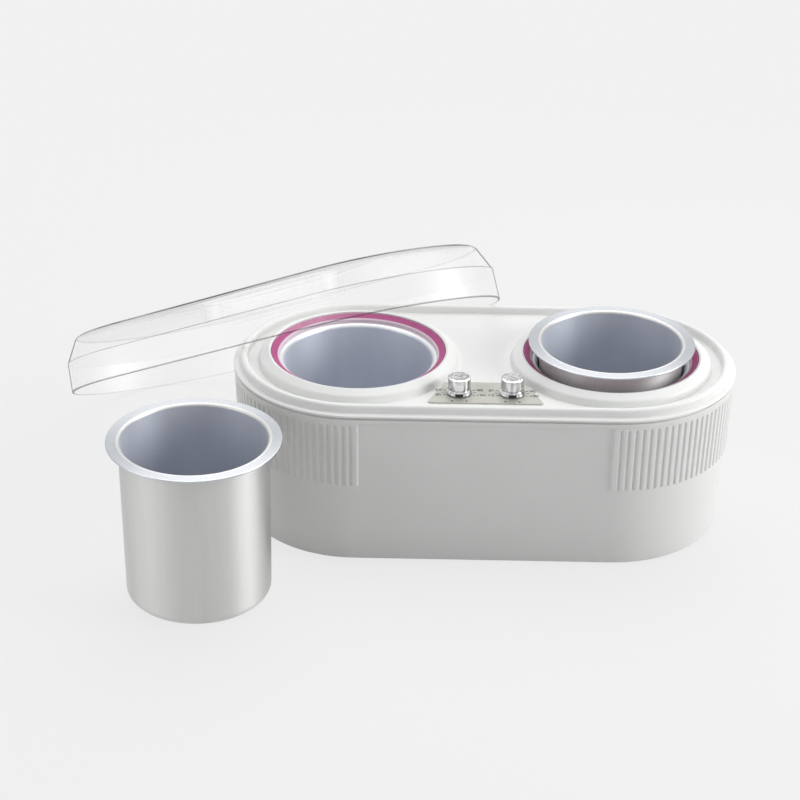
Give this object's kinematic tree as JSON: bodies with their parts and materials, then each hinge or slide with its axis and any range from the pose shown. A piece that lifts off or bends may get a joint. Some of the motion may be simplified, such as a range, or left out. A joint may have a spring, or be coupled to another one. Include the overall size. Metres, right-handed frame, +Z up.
{
  "type": "double wax warmer",
  "caption": "Oblong heater with two round heated wells and two dials, a pot in the right well, its twin standing in front, and a clear lid leaning on the left end.",
  "frame": {"origin": "on the table, under the middle of the heater", "axes": "+Z up, +X towards the right well, -Y towards the side with the dials"},
  "size_m": [0.4228, 0.327, 0.1676],
  "materials": {
    "housing_plastic": "satin moulded, warm white",
    "cover_plastic": "glossy moulded, white",
    "base_plastic": "matt moulded",
    "feet_rubber": "matt",
    "screw_steel": "plated",
    "dial_metal": "printed, satin",
    "ring_plastic": "translucent pink",
    "well_aluminium": "drawn and anodised, satin",
    "heater_steel": "rolled sheet",
    "insulation_felt": "needled felt",
    "cutout_steel": "plated",
    "thermostat_plastic": "moulded, dark",
    "nut_brass": "plated",
    "spindle_steel": "turned",
    "knob_chrome": "polished",
    "terminal_plastic": "moulded",
    "wire_sleeve": "heat-resistant sleeve",
    "gland_plastic": "moulded",
    "pot_aluminium": "drawn and anodised, satin",
    "lid_clear": "clear, polished"
  },
  "bodies": {
    "heater": {"housing": "housing_plastic", "base_plate": "base_plastic", "rubber_feet": "feet_rubber", "base_screws": "screw_steel", "top_cover": "cover_plastic", "cover_screws": "screw_steel", "dial_plate": "dial_metal", "left_well_ring": "ring_plastic", "right_well_ring": "ring_plastic", "left_heating_well": "well_aluminium", "right_heating_well": "well_aluminium", "left_band_heater": "heater_steel", "right_band_heater": "heater_steel", "left_insulation": "insulation_felt", "right_insulation": "insulation_felt", "left_cutout": "cutout_steel", "right_cutout": "cutout_steel", "clamp_screws": "screw_steel", "left_thermostat": "thermostat_plastic", "right_thermostat": "thermostat_plastic", "thermostat_nuts": "nut_brass", "terminal_block": "terminal_plastic", "terminal_screws": "nut_brass", "wiring": "wire_sleeve", "cord_gland": "gland_plastic"},
    "left_knob": {"left_knob": "knob_chrome", "left_spindle": "spindle_steel"},
    "right_knob": {"right_knob": "knob_chrome", "right_spindle": "spindle_steel"},
    "right_pot": {"right_pot": "pot_aluminium"},
    "front_pot": {"front_pot": "pot_aluminium"},
    "lid": {"lid": "lid_clear"}
  },
  "joints": [
    {"name": "left_knob_turn", "type": "hinge", "parent": "heater", "child": "left_knob", "pos_m": [-0.0156, -0.0448, 0.1016], "axis": [0, 0, -1], "range_deg": [0, 300]},
    {"name": "right_knob_turn", "type": "hinge", "parent": "heater", "child": "right_knob", "pos_m": [0.0156, -0.0448, 0.1016], "axis": [0, 0, -1], "range_deg": [0, 300]},
    {"name": "right_pot_lift", "type": "slide", "parent": "heater", "child": "right_pot", "axis": [0, 0, 1], "range_m": [0, 0.12]},
    {"name": "front_pot_lift", "type": "slide", "parent": "heater", "child": "front_pot", "axis": [0, 0, 1], "range_m": [0, 0.12]},
    {"name": "lid_lift", "type": "slide", "parent": "heater", "child": "lid", "axis": [0, 0, 1], "range_m": [0, 0.2]}
  ]
}
